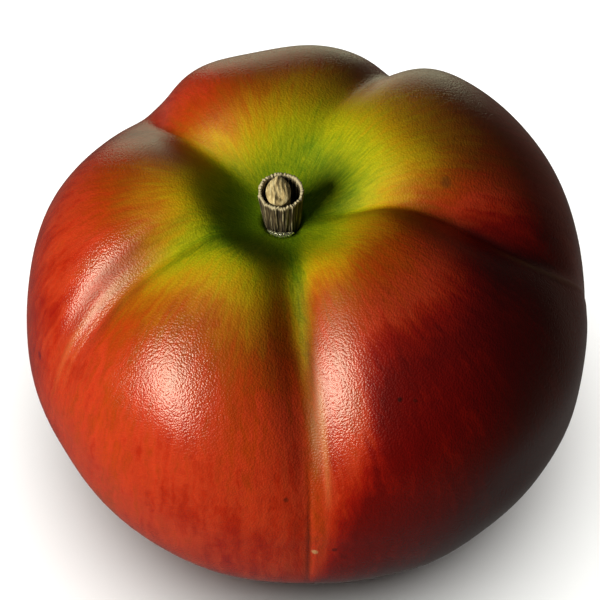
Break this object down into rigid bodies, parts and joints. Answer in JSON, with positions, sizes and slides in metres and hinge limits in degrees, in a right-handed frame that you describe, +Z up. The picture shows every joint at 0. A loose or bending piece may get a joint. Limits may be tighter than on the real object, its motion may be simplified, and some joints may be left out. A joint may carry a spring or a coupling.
{
  "type": "beefsteak tomato with cut stem",
  "caption": "Ripe lobed beefsteak tomato with green shoulders and a cut stem stub, resting on a small flat spot at its blossom end.",
  "frame": {"origin": "centre of the flat spot at the blossom end, on the surface that the fruit rests on", "axes": "+Z up through the fruit towards its stem, -Y the front of the picture's view, +X to its right"},
  "size_m": [0.0883, 0.0857, 0.0631],
  "materials": {
    "skin": "satin",
    "stem_bark": "matte",
    "stem_core": "matte",
    "bead": "gloss"
  },
  "bodies": {
    "root": {"fruit": "skin", "stem_bark": "stem_bark", "stem_core": "stem_core", "foot_bead": "bead"}
  },
  "joints": []
}
